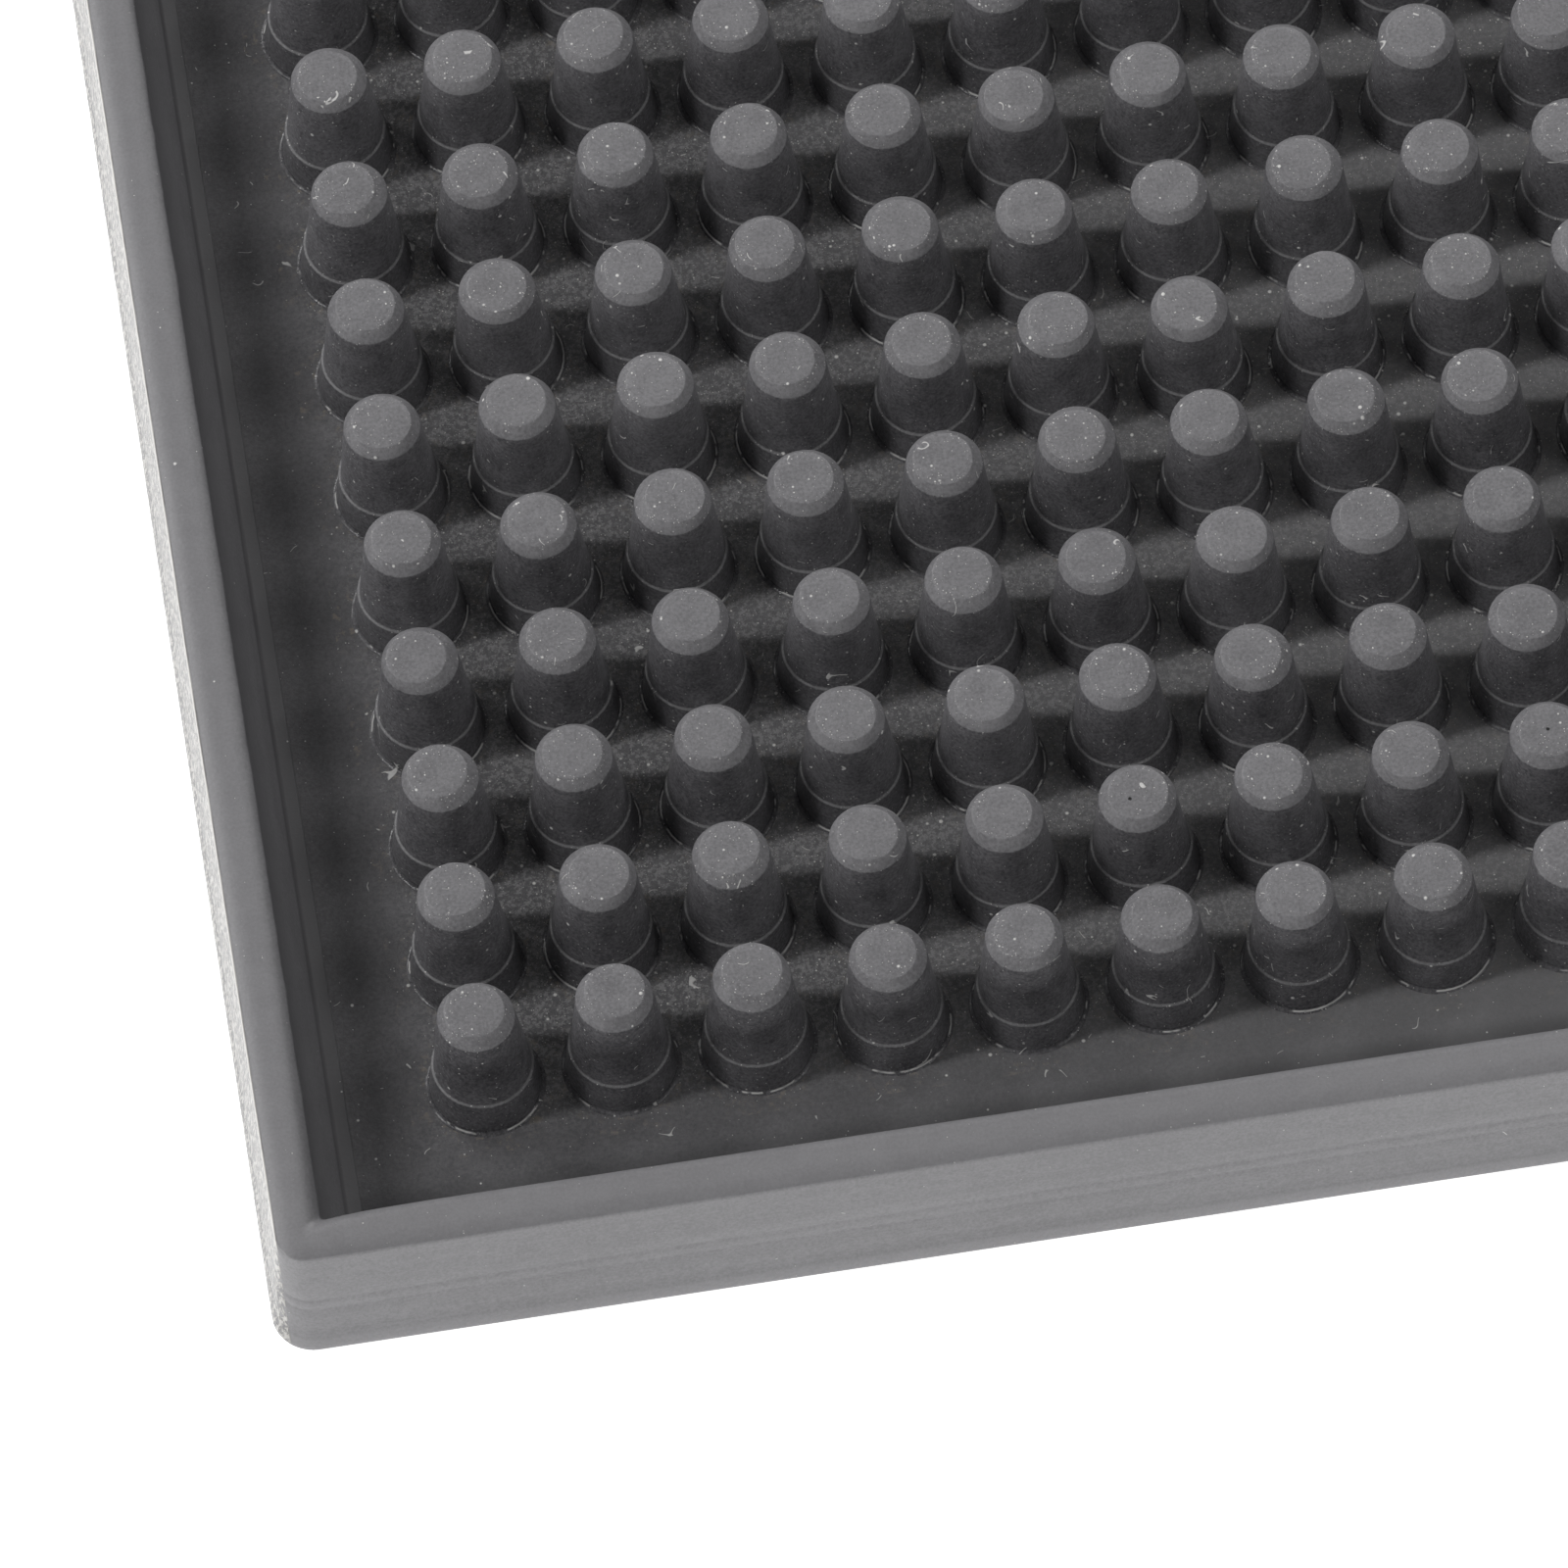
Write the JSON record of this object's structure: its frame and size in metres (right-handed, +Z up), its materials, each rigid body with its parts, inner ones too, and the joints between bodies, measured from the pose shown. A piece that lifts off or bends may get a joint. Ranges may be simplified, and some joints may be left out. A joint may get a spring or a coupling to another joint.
{
  "type": "bar service mat",
  "caption": "Moulded dark grey rubber tray mat: a low rim round a flat floor covered in a square grid of stepped, tapered pegs that hold glasses above spills",
  "frame": {"origin": "centre of the flat underside", "axes": "+Z up out of the pegs, +X along the long side, +Y along the short side"},
  "size_m": [0.301, 0.1528, 0.011],
  "materials": {
    "rubber": "satin charcoal grey moulded rubber, slightly dusty"
  },
  "bodies": {
    "root": {"base_sheet": "rubber", "rim_front": "rubber", "rim_back": "rubber", "rim_left": "rubber", "rim_right": "rubber", "peg_row_01": "rubber", "peg_row_02": "rubber", "peg_row_03": "rubber", "peg_row_04": "rubber", "peg_row_05": "rubber", "peg_row_06": "rubber", "peg_row_07": "rubber", "peg_row_08": "rubber", "peg_row_09": "rubber", "peg_row_10": "rubber", "peg_row_11": "rubber", "peg_row_12": "rubber", "peg_row_13": "rubber", "peg_row_14": "rubber", "peg_row_15": "rubber", "peg_row_16": "rubber", "peg_row_17": "rubber"}
  },
  "joints": []
}
